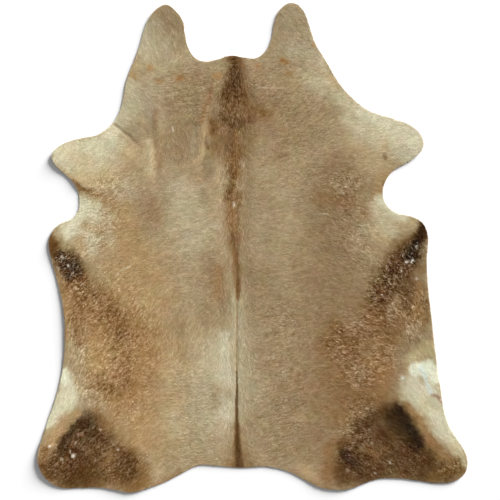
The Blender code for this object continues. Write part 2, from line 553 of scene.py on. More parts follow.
# %% [markdown]
# Strokes
#
# Markings, the lie of the hair and its roughness are all set the same way: as soft strokes. A stroke is a
# path of points, each with a half-width. It is strongest on its path, half as strong at its half-width, and
# its edge is soft or crisp. A little noise added to the distance keeps every border uneven.

# %% Stroke
def stroke(x, y, path, edge=2, wobble=0.0):
    """From 0 to 1: exp(-ln 2 * r ** edge), with r the distance from the path in half-widths."""
    path = np.array(path, float) * MM
    if len(path) == 1:
        path = np.concatenate([path, path + (1e-6, 0, 0)])
    nearest = np.full_like(x, np.inf)
    for (ax, ay, aw), (bx, by, bw) in zip(path[:-1], path[1:]):
        dx, dy = bx - ax, by - ay
        share = np.clip(((x - ax) * dx + (y - ay) * dy) / (dx * dx + dy * dy), 0, 1)
        distance = np.hypot(x - ax - share * dx, y - ay - share * dy)
        nearest = np.minimum(nearest, distance / (aw + (bw - aw) * share))
    return np.exp(-math.log(2) * np.maximum(nearest + wobble, 0) ** edge)


print("a stroke across its half-width:", stroke(np.arange(4) * 0.01, np.zeros(4), [(0, 0, 10)]).round(2))

# %% [markdown]
# Which way the hair lies
#
# Hair grows in a stream: back along the spine, outward and down over the ribs, and down each leg. The
# stream is set by strokes that each have a direction, and every other place blends the strokes near it.

# %% Hair stream
# name, direction in degrees from +X, then points on its path: across, along, half-width; in mm
STREAM = (
    ("spine", -90, (-85, 720, 45), (-80, 0, 40), (-65, -980, 35)),
    ("left flap", -62, (-390, 1050, 90), (-370, 930, 80)),
    ("left neck top", 190, (-280, 770, 100), (-400, 740, 60)),
    ("left neck", 145, (-560, 620, 90), (-430, 630, 80), (-560, 520, 50)),
    ("left withers", -70, (-340, 520, 60), (-330, 440, 50)),
    ("left shoulder", -132, (-820, 420, 90), (-680, 400, 90), (-470, 400, 50)),
    ("left ribs", -156, (-680, 220, 100), (-560, 150, 120), (-560, 0, 120)),
    ("left saddle", -165, (-300, 250, 90), (-270, 80, 110), (-300, -120, 90)),
    ("left flank", -142, (-700, -150, 110), (-640, -330, 120), (-640, -560, 110), (-560, -750, 110)),
    ("left loin", -115, (-400, -300, 80), (-330, -430, 90)),
    ("left croup", -175, (-330, -640, 90), (-300, -820, 100)),
    ("left belly", -97, (-835, -380, 50), (-845, -650, 50)),
    ("left hind", -138, (-900, -940, 70), (-640, -960, 120), (-520, -1020, 80)),
    ("right flap", -45, (180, 1060, 90), (170, 940, 80)),
    ("right neck", 30, (180, 740, 100), (280, 640, 100), (220, 540, 100)),
    ("right shoulder", 0, (430, 620, 70), (440, 430, 90)),
    ("right foreleg", 8, (600, 500, 90), (720, 480, 60)),
    ("right withers", 15, (80, 450, 70), (120, 300, 80)),
    ("right saddle", 4, (120, 120, 90), (150, -120, 100)),
    ("right ribs", -14, (330, 300, 90), (450, 300, 80)),
    ("right ribs low", -21, (400, 180, 90), (430, -20, 110)),
    ("right armpit", 12, (590, 150, 60)),
    ("right belly", -38, (680, -80, 80), (700, -220, 80)),
    ("right belly edge", -68, (780, -200, 50), (770, -380, 60)),
    ("right flank", -12, (450, -300, 100), (500, -420, 100), (480, -620, 110)),
    ("right loin", 13, (180, -300, 100), (220, -600, 110), (200, -900, 110)),
    ("right white", -48, (780, -620, 80), (850, -780, 60)),
    ("right hind", -34, (640, -820, 90), (760, -960, 110), (560, -1000, 80)),
)


def stream(x, y):
    """Direction of the hair, as an angle: unit arrows summed, each weighed by its stroke."""
    across, along = np.zeros_like(x), np.zeros_like(x)
    for _, turn, *path in STREAM:
        weight = stroke(x, y, path) + 1e-6
        across += weight * math.cos(math.radians(turn))
        along += weight * math.sin(math.radians(turn))
    return np.arctan2(along, across)


middle = math.degrees(stream(np.zeros(1), np.zeros(1))[0])
print("at the middle of the back the hair points", round(middle), "degrees")

# %% Streaks along the stream
STREAK_TURNS = 18
STREAK_SHIFT = (37.3, 91.7)


def streaks(x, y, long, wide, seed):
    """Noise drawn out along the hair: sampled in axes turned to the two nearest of a few fixed directions.

    Fixed directions keep the noise from shearing where the stream bends. Each has a shift of its own, and
    the two samples are blended."""
    at = stream(x, y) % math.pi / math.pi * STREAK_TURNS
    low = np.floor(at)
    share = at - low
    total = np.zeros_like(x)
    for turn, weight in ((low % STREAK_TURNS, 1 - share), ((low + 1) % STREAK_TURNS, share)):
        angle = turn * math.pi / STREAK_TURNS
        u = (x * np.cos(angle) + y * np.sin(angle)) / long
        v = (y * np.cos(angle) - x * np.sin(angle)) / wide
        total += weight * soft_noise(u + STREAK_SHIFT[0] * turn, v + STREAK_SHIFT[1] * turn, seed)
    return total / np.sqrt(share**2 + (1 - share) ** 2)


sample = streaks(ROOM_X, 0 * ROOM_X, 30 * MM, 6 * MM, 5)
print("streaks across the back run from", sample.min().round(2), "to", sample.max().round(2))

# %% [markdown]
# The coat's colours
#
# A coat like this is fawn, paler on the forelegs, with brown flanks, seal brown patches at the belly's
# edge, cream in front of the hind legs and a dark line down the back. Each marking is a stroke of one
# colour laid over what is there, as a painter works from broad washes to small touches.

# %% Colours of hair
# red, green and blue from 0 to 255, as they look in daylight
HAIR = {
    "ivory": (236, 236, 212), "cream": (214, 207, 177), "ash": (200, 190, 161), "sand": (197, 185, 152),
    "pebble": (182, 167, 135), "straw": (184, 160, 120), "fawn": (167, 146, 112), "wheat": (194, 167, 128),
    "camel": (170, 140, 98), "honey": (172, 138, 89), "greige": (152, 129, 96), "taupe": (149, 124, 91),
    "tan": (155, 120, 78), "chestnut": (138, 104, 67), "saddle": (127, 93, 56), "brown": (102, 72, 40),
    "coffee": (81, 55, 28), "seal": (57, 38, 19), "soot": (41, 28, 16), "umber": (89, 62, 34),
    "bronze": (123, 92, 52), "smoke": (141, 120, 92), "oat": (190, 175, 131), "milk": (224, 232, 226),
    "rust": (160, 108, 54), "scar": (158, 120, 96), "fleck": (232, 226, 210),
}
print(len(HAIR), "colours of hair")

# %% [markdown]
# Markings of the back and sides
#
# Broad washes cover the sides: taupe on the right, warm fawn on the left. Browns lie over both flanks, and
# pale patches on the saddle and croup. Soft edges let the strokes melt together.

# %% Markings of the back and sides
# colour, strength, edge, then points on its path: across, along, half-width; in mm
SIDES = (
    # right side
    ("taupe", 0.95, 3, (350, 330, 110), (380, 80, 130), (350, -250, 190), (290, -800, 190)),
    ("greige", 0.5, 2, (60, -160, 60), (70, -350, 60), (100, -880, 90)),
    ("straw", 0.6, 2, (205, -762, 22)),
    # right flank
    ("chestnut", 0.8, 2, (380, -380, 60), (400, -560, 90), (400, -760, 70)),
    ("saddle", 0.6, 2, (340, -430, 45), (430, -440, 55), (500, -400, 40)),
    ("saddle", 0.5, 2, (520, -620, 40), (470, -690, 40)),
    ("chestnut", 0.9, 2, (540, -300, 60), (610, -450, 70), (560, -620, 60)),
    ("saddle", 0.6, 2, (590, -690, 26), (530, -690, 26)),
    ("saddle", 0.5, 2, (480, -735, 30), (652, -692, 14)),
    ("tan", 0.7, 2, (540, -500, 35), (600, -560, 30), (600, -640, 25)),
    # right rump
    ("straw", 0.7, 3, (230, -1005, 30), (270, -1030, 25)),
    ("greige", 0.7, 2, (170, -1016, 14), (232, -1048, 16), (300, -1080, 14)),
    # left side
    ("camel", 0.95, 3, (-600, 160, 60), (-550, -80, 130), (-520, -420, 180), (-500, -820, 130)),
    # left flank
    ("tan", 0.85, 2, (-790, -220, 60), (-680, -330, 80), (-600, -450, 90), (-590, -640, 80)),
    ("saddle", 0.75, 2.5, (-785, -240, 35), (-790, -330, 38), (-780, -420, 25)),
    ("tan", 0.6, 3, (-840, -180, 20), (-840, -420, 20)),
    ("saddle", 0.8, 2, (-600, -345, 36), (-592, -400, 36)),
    ("chestnut", 0.5, 2, (-752, -292, 20), (-664, -305, 18)),
    ("tan", 0.6, 2, (-540, -285, 25), (-505, -370, 25)),
    ("chestnut", 0.6, 2, (-560, -480, 30), (-560, -580, 35), (-600, -650, 30)),
    ("chestnut", 0.45, 2, (-540, -345, 50), (-502, -408, 26), (-425, -372, 24)),
    ("honey", 0.7, 2, (-720, -420, 30), (-705, -500, 42), (-725, -560, 30)),
    ("chestnut", 0.8, 2, (-690, -610, 30), (-650, -640, 32)),
    # left loin
    ("straw", 0.85, 2, (-370, -560, 45), (-340, -680, 60), (-350, -840, 60)),
    ("pebble", 0.6, 2, (-360, -770, 34), (-345, -835, 34)),
    ("tan", 0.75, 2, (-470, -470, 35), (-455, -560, 38)),
    ("greige", 0.5, 2, (-350, -280, 40), (-330, -380, 30)),
    # left saddle and ribs
    ("pebble", 0.95, 3, (-310, 250, 60), (-280, 130, 90), (-250, 40, 70)),
    ("sand", 0.7, 2, (-160, 92, 22)),
    ("taupe", 0.9, 2, (-455, 200, 40), (-450, 110, 40)),
    # croup
    ("pebble", 0.95, 2.5, (-190, -460, 50), (-200, -640, 90), (-190, -800, 80)),
    ("ash", 0.95, 2.5, (-120, -400, 30), (-110, -500, 50), (-110, -740, 45)),
    ("greige", 0.6, 2, (-160, -640, 22), (-160, -700, 22)),
    ("taupe", 0.5, 2, (-108, -655, 22)),
    ("pebble", 0.6, 2, (-30, -420, 40), (-20, -680, 50)),
    ("pebble", 0.7, 2, (-45, -330, 18), (-60, -420, 22), (-60, -560, 22)),
    # loin
    ("greige", 0.8, 2, (-190, -40, 35), (-170, -240, 50), (-210, -310, 40)),
    ("chestnut", 0.55, 2, (-155, -110, 25), (-150, -210, 28)),
    ("greige", 0.7, 2, (-10, -110, 40), (60, -130, 40), (80, -280, 50)),
)
print(len(SIDES), "strokes for the back and sides")

# %% [markdown]
# Markings of the neck
#
# The neck is greige in the middle and pale along its borders. Its two ridges get narrow pale strokes
# and their troughs dark ones: painted light on the ridges and painted shade in the troughs.

# %% Markings of the neck
# the same columns
NECK = (
    # neck
    ("greige", 0.9, 3, (-240, 740, 60), (-290, 600, 90), (-300, 460, 90)),
    ("greige", 0.6, 2, (-400, 520, 30), (-390, 420, 35)),
    ("greige", 0.9, 3, (60, 680, 60), (170, 600, 110), (240, 500, 90), (150, 440, 60)),
    ("taupe", 0.8, 2, (60, 635, 55), (120, 555, 60)),
    ("greige", 0.7, 2, (290, 650, 45), (370, 600, 30)),
    # right poll and withers
    ("greige", 0.5, 2, (30, 780, 40), (140, 770, 40)),
    ("fawn", 0.8, 2, (340, 430, 40), (230, 400, 35)),
    # left neck flap
    ("greige", 0.4, 2, (-390, 1090, 50), (-350, 980, 40), (-310, 950, 25)),
    ("pebble", 0.6, 2, (-400, 900, 50), (-370, 850, 40)),
    ("pebble", 0.9, 2, (-450, 1000, 35), (-450, 900, 50)),
    ("sand", 0.9, 2.5, (-490, 980, 30), (-500, 890, 45), (-470, 860, 35)),
    # left of the neck
    ("straw", 0.5, 2, (-540, 810, 30), (-450, 800, 35)),
    ("sand", 0.95, 3, (-570, 740, 45), (-560, 660, 60), (-580, 600, 60)),
    ("pebble", 0.9, 2, (-450, 730, 40), (-480, 620, 50), (-440, 580, 35)),
    # right neck flap
    ("pebble", 0.45, 2, (170, 1060, 60), (160, 930, 60)),
    ("pebble", 0.85, 2, (180, 890, 40), (260, 870, 35)),
    ("pebble", 0.8, 2.5, (260, 970, 30), (300, 870, 35)),
    # right of the neck
    ("sand", 0.95, 2.5, (285, 740, 30), (370, 740, 30), (400, 680, 40), (470, 620, 40)),
    ("pebble", 0.9, 2, (250, 775, 30), (290, 710, 34), (320, 700, 26)),
    ("straw", 0.7, 2, (352, 760, 18), (385, 715, 16)),
    ("sand", 0.8, 2, (305, 840, 20), (330, 800, 18)),
    # ridges of the neck: the pale strokes are painted light on the crests, the taupe one is painted shade in
    # the outer trough
    ("straw", 0.75, 2, (-495, 570, 16), (-482, 470, 18), (-470, 330, 18)),
    ("sand", 0.5, 2, (-466, 480, 14), (-461, 350, 15)),
    ("taupe", 0.85, 2, (-436, 610, 14), (-434, 500, 18), (-424, 370, 20)),
    ("straw", 0.75, 2, (-222, 540, 11), (-224, 490, 14), (-222, 400, 14), (-235, 310, 12)),
    ("wheat", 0.8, 2, (-246, 545, 11), (-246, 490, 16), (-243, 430, 17), (-246, 380, 14)),
    ("pebble", 0.4, 2, (-272, 540, 14), (-270, 440, 16)),
    # trough by the inner ridge: painted shade
    ("chestnut", 0.7, 2, (-178, 740, 8), (-196, 660, 8), (-234, 575, 12)),
    ("smoke", 0.85, 2, (-200, 505, 9), (-201, 455, 12), (-196, 400, 22), (-188, 340, 22)),
)
print(len(NECK), "strokes for the neck")

# %% [markdown]
# Markings of the forelegs
#
# The forelegs and the hollows behind them are cream. Tan creeps in from the elbows, and the ribs behind
# them are frosted.

# %% Markings of the forelegs
# the same columns
FORELEGS = (
    # left foreleg
    ("straw", 0.8, 2, (-660, 330, 50), (-560, 430, 50)),
    ("cream", 0.85, 4, (-860, 420, 60), (-740, 420, 80), (-660, 470, 70), (-630, 540, 40)),
    ("sand", 0.8, 2.5, (-840, 350, 25), (-740, 340, 40), (-640, 390, 40)),
    ("sand", 0.6, 2, (-870, 420, 40), (-800, 430, 45)),
    ("sand", 0.6, 2, (-576, 474, 18)),
    ("straw", 0.45, 2, (-790, 405, 28), (-740, 385, 36), (-720, 335, 30), (-640, 350, 22)),
    # left elbow
    ("straw", 0.8, 2, (-840, 325, 18), (-770, 312, 26), (-700, 290, 25)),
    ("taupe", 0.7, 2, (-866, 348, 8), (-838, 325, 9), (-812, 304, 10)),
    ("taupe", 0.5, 2, (-905, 412, 14)),
    ("saddle", 0.9, 2.5, (-802, 300, 10), (-778, 272, 13), (-748, 262, 9), (-722, 260, 6)),
    ("taupe", 0.6, 2, (-782, 240, 10)),
    ("tan", 0.7, 2, (-700, 235, 20), (-690, 205, 22), (-610, 215, 22)),
    # right foreleg
    ("straw", 0.8, 2, (460, 470, 50), (520, 400, 50), (600, 350, 40)),
    ("cream", 0.98, 3, (500, 610, 35), (580, 560, 60), (690, 520, 70), (740, 460, 60)),
    ("sand", 0.9, 2.5, (430, 580, 30), (490, 530, 50), (580, 480, 50), (640, 430, 35)),
    ("ash", 0.8, 2.5, (740, 430, 35), (690, 420, 28)),
    ("sand", 0.5, 2, (680, 522, 34)),
    ("cream", 0.6, 2, (735, 430, 14), (704, 408, 14)),
    ("straw", 0.7, 2, (590, 450, 25), (610, 410, 20)),
    # right elbow
    ("camel", 0.8, 3, (590, 310, 30), (560, 250, 25)),
    ("tan", 0.6, 2, (565, 245, 22), (530, 150, 20), (490, 140, 18)),
    # left armpit
    ("cream", 0.95, 3, (-770, 200, 30), (-730, 150, 50), (-830, 80, 40)),
    ("sand", 0.9, 2.5, (-700, 190, 26), (-720, 90, 50), (-722, 30, 36), (-712, -14, 28)),
    ("straw", 0.8, 2.5, (-782, 24, 26), (-765, -30, 24)),
    ("pebble", 0.6, 2, (-640, 140, 22), (-635, 20, 30)),
    ("tan", 0.45, 2, (-750, 95, 18), (-690, 80, 25)),
    ("pebble", 0.55, 2, (-560, 270, 34), (-600, 230, 30)),
    # right ribs
    ("taupe", 0.8, 2, (400, 340, 60), (320, 230, 50), (430, 200, 60), (360, 60, 60)),
    ("chestnut", 0.5, 2, (320, 220, 30), (420, 210, 35)),
    ("taupe", 0.6, 2, (400, 300, 50), (520, 280, 30)),
    # right armpit
    ("cream", 0.9, 3, (570, 225, 22), (610, 175, 38), (690, 132, 22)),
    ("oat", 0.7, 2, (722, 112, 18)),
    ("sand", 0.85, 2.5, (550, 180, 25), (590, 110, 40)),
    ("sand", 0.7, 2, (510, 80, 30), (590, 66, 34), (640, 70, 26)),
    ("straw", 0.7, 2, (545, 60, 28), (620, 25, 18)),
    ("fawn", 0.8, 2, (480, 30, 40), (520, -20, 40)),
)
print(len(FORELEGS), "strokes for the forelegs, elbows and armpits")

# %% [markdown]
# The dark line of the back
#
# A brown patch starts at the poll and narrows into a line that follows the spine. It is built from wide
# mid browns to narrow dark ones, so it is darkest in its middle and soft at its borders.

# %% The dark line of the back
# the same columns
BACK_LINE = (
    # brown of the neck
    ("saddle", 0.85, 2.5, (-60, 700, 42), (-80, 600, 75), (-85, 520, 82), (-95, 460, 66)),
    ("saddle", 0.6, 2.5, (-85, 440, 42), (-80, 380, 32), (-85, 300, 28)),
    ("saddle", 0.8, 2, (-10, 600, 28), (50, 612, 22)),
    ("saddle", 0.8, 2, (-110, 575, 24), (-155, 562, 18), (-178, 528, 16)),
    ("smoke", 0.3, 2, (-90, 640, 55), (-80, 500, 60)),
    ("fawn", 0.6, 2, (-122, 440, 16)),
    ("straw", 0.8, 2, (-150, 356, 12), (-153, 300, 13)),
    ("saddle", 0.6, 2, (-185, 580, 16), (-150, 515, 28), (-180, 420, 16)),
    # dark of the poll
    ("saddle", 0.75, 2, (-70, 840, 30), (-66, 775, 42), (-56, 735, 44), (-55, 690, 46)),
    ("umber", 0.85, 2, (-86, 880, 22), (-85, 800, 28), (-84, 750, 36), (-92, 700, 42)),
    ("coffee", 0.85, 2, (-88, 840, 10), (-78, 750, 18), (-100, 706, 25)),
    ("brown", 0.65, 2.5, (-95, 665, 46), (-115, 600, 36)),
    ("smoke", 0.6, 2, (-72, 628, 12)),
    # heart of the neck
    ("smoke", 0.85, 2, (-142, 620, 18), (-160, 626, 20), (-168, 602, 16)),
    ("umber", 0.6, 2, (-134, 582, 10), (-104, 560, 14), (-60, 556, 26), (-20, 564, 18)),
    ("umber", 0.6, 2, (-186, 566, 11), (-172, 528, 9)),
    ("umber", 0.6, 2, (-88, 545, 18), (-96, 490, 15), (-96, 448, 17)),
    # spine
    ("saddle", 0.8, 3, (-76, 520, 14), (-74, 440, 14), (-80, 360, 17), (-85, 300, 16), (-99, 235, 20)),
    ("pebble", 0.95, 2.5, (-78, -200, 16), (-74, -340, 30), (-70, -420, 24), (-72, -540, 17)),
    ("chestnut", 0.85, 3, (-90, 235, 30), (-84, 140, 38), (-80, 54, 30), (-72, -30, 22), (-68, -120, 17),
        (-71, -190, 11), (-72, -240, 6)),
    ("saddle", 0.6, 2, (-52, 240, 12), (-54, 200, 14)),
    ("brown", 0.4, 2, (-66, -150, 9), (-68, -190, 8)),
    ("brown", 0.65, 2, (-100, 376, 14), (-90, 300, 12), (-104, 240, 16), (-120, 210, 11)),
    ("taupe", 0.5, 2, (-22, 400, 18), (-35, 0, 18), (-20, -90, 30)),
)
print(len(BACK_LINE), "strokes for the line of the back")

# %% [markdown]
# Patches at the belly's edges
#
# Seal brown patches sit on the edge behind the forelegs, and trail off into the flanks. In front of each
# hind leg the edge is white, and on the right the white is wide and has a crisp border.

# %% Patches at the belly's edges
# the same columns
BELLY = (
    # right belly patch
    ("chestnut", 0.9, 2, (700, -220, 50), (720, -330, 50), (620, -360, 60)),
    ("brown", 0.92, 3, (762, 62, 26), (705, 0, 48), (655, -70, 64), (612, -165, 66), (562, -236, 46)),
    ("umber", 0.9, 3, (768, 108, 20), (764, 56, 26), (730, 0, 38), (700, -50, 50), (664, -95, 34)),
    ("seal", 0.9, 3, (766, 104, 17), (762, 52, 20), (732, 2, 20), (708, -34, 28)),
    ("umber", 0.65, 2.5, (612, -110, 34), (630, -190, 24), (690, -140, 38), (722, -180, 34),
        (690, -265, 24)),
    ("brown", 0.3, 2, (620, -285, 30), (545, -372, 30)),
    ("taupe", 0.8, 2, (648, -224, 13)),
    ("tan", 0.85, 2, (745, -170, 18), (748, -330, 32)),
    ("fawn", 0.7, 2, (735, -345, 20), (705, -385, 26)),
    # right belly edge
    ("fawn", 0.85, 2.5, (794, 20, 10), (790, -20, 14), (792, -80, 10)),
    ("saddle", 0.6, 2.5, (760, -105, 18)),
    ("saddle", 0.7, 3, (783, -240, 14), (789, -335, 13)),
    # left belly patch
    ("brown", 0.9, 2.5, (-914, 62, 12), (-906, 30, 17)),
    ("brown", 0.9, 3, (-895, 20, 24), (-880, -40, 34), (-840, -66, 50), (-785, -122, 46)),
    ("chestnut", 0.8, 2, (-868, -132, 16), (-858, -170, 22)),
    ("umber", 0.85, 3, (-898, 5, 20), (-880, -45, 28), (-830, -70, 44), (-804, -112, 32)),
    ("seal", 0.85, 2.5, (-862, -26, 14), (-850, -80, 20), (-796, -84, 29), (-782, -112, 22),
        (-820, -128, 16)),
    ("umber", 0.5, 2, (-828, -26, 12)),
    ("camel", 0.4, 2, (-868, -130, 9), (-862, -160, 12)),
    ("saddle", 0.8, 2, (-806, -176, 26), (-765, -168, 42), (-712, -196, 38), (-650, -235, 36),
        (-610, -330, 30)),
    # white by the left hind leg
    ("cream", 0.95, 4, (-838, -556, 14), (-832, -606, 35), (-838, -665, 46), (-856, -710, 50),
        (-895, -762, 32), (-925, -800, 18)),
    ("ivory", 0.6, 3, (-848, -560, 18), (-845, -605, 20)),
    ("straw", 0.6, 3, (-800, -590, 10), (-780, -650, 12)),
    ("straw", 0.6, 3, (-826, -752, 20), (-870, -796, 22), (-900, -832, 16)),
    # white by the right hind leg
    ("straw", 0.9, 3, (785, -440, 26), (730, -475, 30), (690, -545, 36)),
    ("taupe", 0.8, 2, (660, -560, 18), (684, -482, 20), (720, -434, 16)),
    ("greige", 0.6, 2, (640, -500, 26), (670, -450, 26)),
    ("oat", 0.9, 2, (792, -462, 28), (745, -484, 22), (702, -508, 16)),
    ("sand", 0.95, 6, (740, -628, 70), (772, -715, 68), (850, -826, 46), (920, -910, 24)),
    ("cream", 0.97, 4, (778, -560, 44), (773, -630, 80), (810, -730, 54), (868, -826, 42), (922, -898, 26)),
    ("ivory", 0.95, 5, (745, -545, 34), (786, -542, 36), (825, -578, 28)),
    ("straw", 0.6, 2, (762, -600, 16)),
    ("greige", 0.5, 2.5, (680, -556, 12)),
    ("straw", 0.35, 2, (790, -700, 26)),
    ("straw", 0.45, 2, (750, -735, 18), (800, -800, 16)),
    ("straw", 0.6, 2, (906, -906, 26)),
)
print(len(BELLY), "strokes for the belly's edges")

# %% [markdown]
# Markings of the hind legs
#
# The hind legs are the darkest part: nearly black where they leave the flank, brown below, with a pale rim.

# %% Markings of the hind legs
# the same columns
HIND_LEGS = (
    # left hind leg
    ("brown", 0.95, 4, (-920, -990, 52), (-820, -965, 108), (-700, -975, 118), (-580, -1000, 84)),
    ("brown", 0.75, 2, (-672, -850, 30), (-590, -905, 34)),
    ("saddle", 0.85, 2.5, (-550, -1096, 20), (-486, -1060, 26)),
    ("saddle", 0.8, 2.5, (-500, -1045, 26), (-488, -985, 24)),
    ("chestnut", 0.6, 2, (-440, -1070, 14), (-380, -1044, 14), (-325, -1014, 12)),
    ("seal", 0.9, 3, (-864, -918, 20), (-838, -862, 32), (-806, -822, 44), (-750, -804, 50),
        (-700, -824, 36)),
    ("umber", 0.9, 2.5, (-690, -772, 20), (-676, -830, 38), (-662, -876, 28)),
    ("coffee", 0.8, 2.5, (-790, -1010, 46), (-792, -925, 58), (-770, -860, 54), (-735, -878, 38)),
    ("umber", 0.5, 2, (-700, -890, 30), (-690, -950, 30)),
    ("umber", 0.8, 2, (-885, -945, 30), (-900, -990, 34)),
    ("chestnut", 0.7, 2, (-640, -810, 26), (-700, -738, 16)),
    ("chestnut", 0.7, 2, (-632, -922, 20), (-660, -985, 24)),
    ("umber", 0.85, 2.5, (-565, -965, 34), (-550, -1015, 34)),
    ("coffee", 0.5, 2, (-850, -1040, 40), (-720, -1050, 40)),
    # left hind border
    ("camel", 0.9, 3, (-790, -746, 18), (-850, -796, 20), (-888, -846, 22), (-915, -885, 18)),
    ("saddle", 0.8, 2.5, (-935, -905, 22), (-945, -950, 22)),
    # right hind leg
    ("umber", 0.95, 4, (425, -985, 80), (590, -925, 140), (740, -970, 105), (860, -1000, 60)),
    ("tan", 0.95, 3, (692, -712, 20), (738, -768, 24), (775, -828, 23), (808, -884, 23), (850, -932, 22),
        (905, -962, 16)),
    ("chestnut", 0.85, 2.5, (355, -880, 26), (335, -950, 32), (330, -1030, 34)),
    # dark of the right hind leg
    ("umber", 0.92, 3, (660, -722, 26), (600, -742, 34), (540, -770, 40), (490, -815, 40)),
    ("seal", 0.85, 3, (650, -730, 28), (640, -775, 46), (690, -835, 46), (740, -895, 30)),
    ("coffee", 0.6, 2.5, (560, -815, 24), (600, -835, 30)),
    ("umber", 0.6, 2.5, (405, -885, 26)),
    ("soot", 0.85, 3, (660, -730, 18), (698, -780, 25), (730, -832, 22), (756, -880, 17)),
    ("umber", 0.7, 2, (800, -930, 24)),
    ("brown", 0.7, 2.5, (455, -870, 36), (405, -890, 30)),
    ("seal", 0.85, 2.5, (412, -925, 24), (442, -965, 28)),
    ("saddle", 0.8, 2, (512, -910, 20), (555, -930, 28), (590, -905, 18)),
    ("umber", 0.6, 2, (500, -1025, 24)),
    # right hind foot
    ("bronze", 0.85, 2.5, (815, -1035, 24), (862, -1012, 34), (925, -990, 40)),
    ("tan", 0.7, 2, (880, -996, 26)),
    ("sand", 0.8, 3, (936, -920, 18), (952, -955, 14), (958, -990, 9)),
    # tail
    ("saddle", 0.75, 2, (-70, -800, 10), (-64, -880, 22), (-62, -940, 40), (-60, -990, 60)),
)
MARKINGS = SIDES + NECK + FORELEGS + BACK_LINE + BELLY + HIND_LEGS
print(len(HIND_LEGS), "strokes for the hind legs,", len(MARKINGS), "in all")

# %% [markdown]
# Small marks
#
# The animal's life left rust stains, scratches and scars, and white hairs stand alone in the dark patches.
# Creases get painted shade. These are small, so they keep their place better than the broad markings do.

# %% Small marks
# the same columns
FINE_MARKINGS = (
    # spine and tail lines
    ("brown", 0.5, 2, (-90, 60, 9), (-76, -14, 8), (-67, -81, 8), (-70, -148, 6), (-71, -230, 4)),
    ("chestnut", 0.55, 3, (-71, -200, 3.5), (-71, -560, 3.5)),
    ("coffee", 0.85, 3, (-71, -560, 3), (-70, -800, 8), (-66, -900, 13), (-60, -985, 18)),
    # creases: dark lines and spots, painted shade in the hollows of the folds
    ("taupe", 0.5, 2, (-617, 554, 4), (-590, 535, 6), (-545, 495, 9), (-500, 455, 9)),
    ("brown", 0.2, 2, (-622, 556, 4), (-600, 545, 4)),
    ("brown", 0.6, 2, (-208, 470, 5), (-198, 445, 6)),
    ("brown", 0.6, 2, (592, 412, 8), (600, 400, 6)),
    ("brown", 0.6, 2, (592, 293, 7), (590, 278, 5)),
    # rust stains
    ("rust", 0.6, 2, (-461, 810, 12)),
    ("rust", 0.4, 2, (-545, 778, 14), (-525, 765, 10)),
    ("rust", 0.4, 2, (-432, 745, 12), (-410, 750, 10)),
    ("rust", 0.55, 2, (-335, 757, 11), (-315, 762, 9)),
    ("rust", 0.5, 2, (-165, 770, 14), (-145, 775, 9)),
    ("rust", 0.7, 2, (136, 842, 12), (152, 832, 10)),
    ("rust", 0.55, 2, (273, 910, 9)),
    ("rust", 0.35, 2, (160, 785, 12)),
    ("rust", 0.35, 2, (25, 815, 14)),
    # scratches and pale lines
    ("fleck", 0.55, 3, (-359, 540, 3.5), (-356, 524, 3)),
    ("fleck", 0.6, 2, (-84, 204, 4), (-81, 188, 6)),
    ("fleck", 0.3, 2, (25, 719, 2.5), (150, 716, 2.5)),
    ("fleck", 0.4, 2, (-617, -130, 2.5), (-581, -95, 3)),
    ("fleck", 0.5, 2, (-569, -92, 3), (-552, -84, 3)),
    ("fleck", 0.4, 2, (300, 153, 3), (338, 152, 3)),
    ("fleck", 0.4, 2, (395, 249, 3), (416, 243, 3)),
    # belly patches
    ("fleck", 0.9, 3, (714, -66, 4), (720, -56, 4)),
    ("smoke", 0.8, 2, (761, -20, 9)),
    ("milk", 0.6, 2, (738, 5, 5)),
    ("milk", 0.5, 2, (741, 20, 3)),
    # left hind leg
    ("scar", 0.55, 2, (-783, -838, 9), (-762, -842, 6)),
    ("scar", 0.4, 2, (-800, -868, 4), (-812, -888, 5)),
    ("fleck", 0.5, 2, (-792, -872, 3), (-796, -882, 3)),
    ("fleck", 0.5, 2, (-818, -910, 3), (-820, -922, 3)),
    ("scar", 0.7, 3, (-880, -974, 8)),
    ("fleck", 0.5, 3, (-862, -946, 5), (-856, -955, 5)),
    ("scar", 0.5, 2, (-614, -935, 8)),
    ("fleck", 0.4, 3, (605, -955, 3), (618, -968, 3)),
    # right hind leg
    ("fleck", 0.45, 2, (493, -886, 2.5), (502, -894, 2.5)),
    # white patch
    ("scar", 0.85, 2, (806, -662, 6), (828, -668, 7), (850, -692, 7)),
    ("milk", 0.75, 2, (756, -540, 8), (770, -568, 9), (780, -600, 6), (803, -652, 10)),
    ("milk", 0.8, 2, (675, -588, 7)),
    # right ribs
    ("fleck", 0.4, 2, (532, 205, 3), (585, 202, 4)),
)
# white hairs that stand alone: across, along, half-width, strength; in mm
SPECKS = (
    (-852, -47, 6, 0.9), (-826, -83, 6, 0.95), (-873, -90, 5, 0.5), (-767, -165, 5, 0.5),
    (691, -65, 6, 0.95), (670, -106, 5, 0.9), (736, -142, 5, 0.7), (-769, -832, 3, 0.8),
    (-806, -938, 9, 0.9), (-912, -893, 6, 0.8), (-682, -819, 3, 0.7), (-713, -804, 4, 0.5),
    (-630, -872, 3, 0.6), (-622, -886, 3, 0.6), (-612, -876, 3, 0.5), (-603, -909, 3, 0.6),
    (619, -968, 5, 0.8), (537, -880, 7, 0.35), (512, -724, 5, 0.5), (503, -816, 4, 0.4),
    (525, -818, 4, 0.4), (520, -868, 4, 0.4), (396, -960, 4, 0.4), (552, -1014, 5, 0.6),
    (427, -1003, 8, 0.35), (848, -686, 5, 0.8),
)
SPECK_EDGE = 3
FINE_MARKINGS += tuple(("fleck", strength, SPECK_EDGE, place) for *place, strength in SPECKS)
print(len(FINE_MARKINGS), "small marks")

# %% [markdown]
# Painting the coat
#
# Every place is moved a little by noise before its markings are looked up, because single hairs cross a
# marking's border. The sum is made in the colours that a screen shows, and turned into light at the end.

# %% Painting
# the light that is lost between the locks is made good by a gain
COAT_GAIN = np.array((1.218, 1.226, 1.224))
